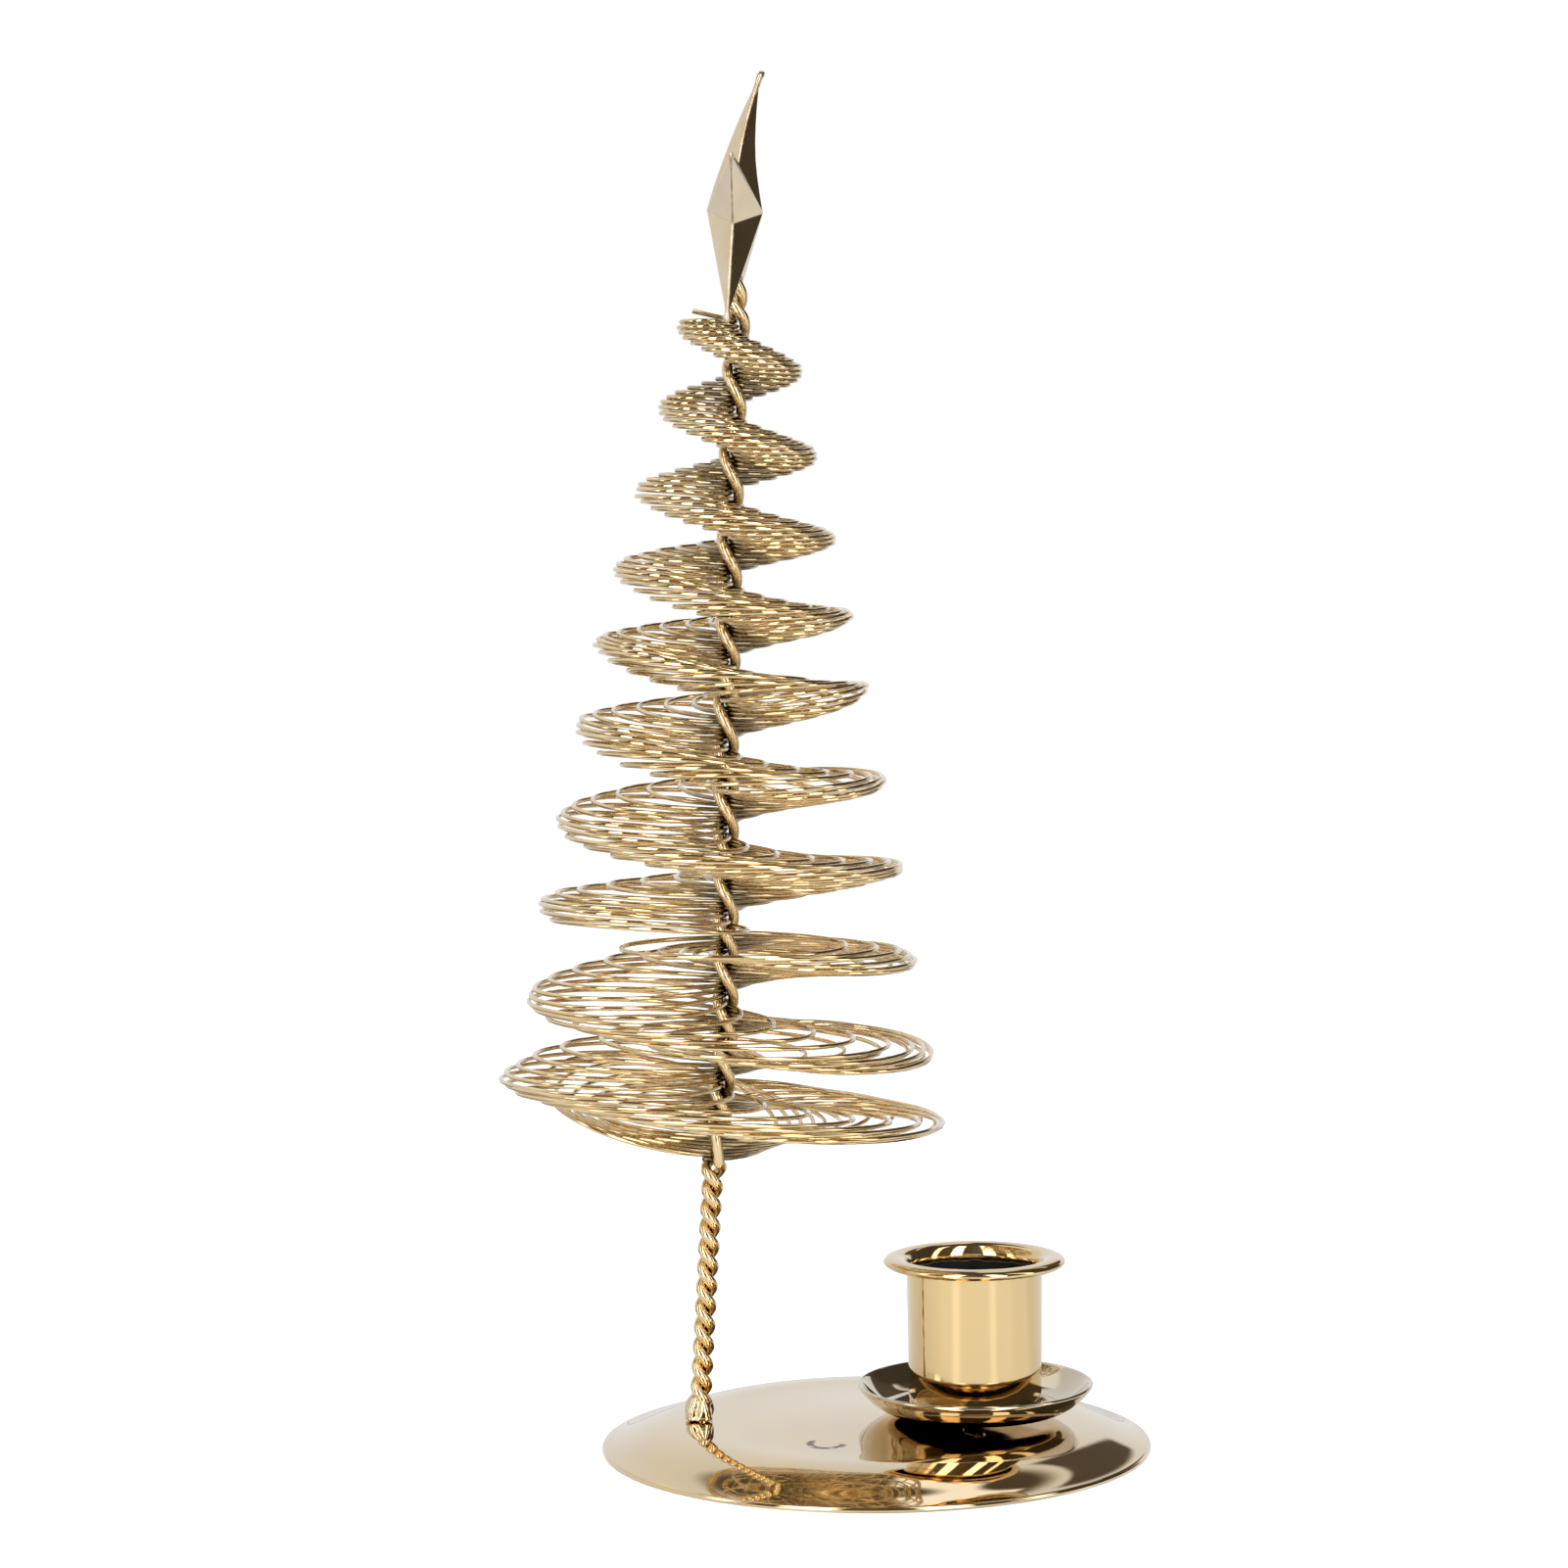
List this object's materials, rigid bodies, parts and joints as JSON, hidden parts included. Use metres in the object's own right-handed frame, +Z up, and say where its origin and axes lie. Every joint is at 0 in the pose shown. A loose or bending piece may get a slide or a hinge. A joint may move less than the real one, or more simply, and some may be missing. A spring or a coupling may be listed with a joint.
{
  "type": "candle holder",
  "caption": "Domed dish with a drip pan and a taper candle socket beside a tree of coiled wire on a twisted wire stem, with a faceted star on top.",
  "frame": {"origin": "on the surface the dish stands on, under the middle of the whole object's bounding box", "axes": "+Z up, +X from the stem towards the candle socket"},
  "size_m": [0.112, 0.095, 0.2368],
  "materials": {
    "polished_brass_sheet": "polished, lacquered",
    "pale_brass_sheet": "polished, soft vertical drawing marks",
    "brass_wire": "bright drawn wire",
    "pale_brass_star": "pale plated brass, slightly satin",
    "plated_solder": "smooth solder under brass plating"
  },
  "bodies": {
    "root": {"base_dish": "polished_brass_sheet", "drip_pan": "polished_brass_sheet", "candle_socket": "pale_brass_sheet", "socket_rivet": "polished_brass_sheet", "core_wire_inner": "brass_wire", "core_wire_outer": "brass_wire", "branch_coil_upper": "brass_wire", "branch_coil_lower": "brass_wire", "star_half_candle_side": "pale_brass_star", "star_half_tree_side": "pale_brass_star", "foot_solder": "plated_solder", "star_solder": "plated_solder"}
  },
  "joints": []
}
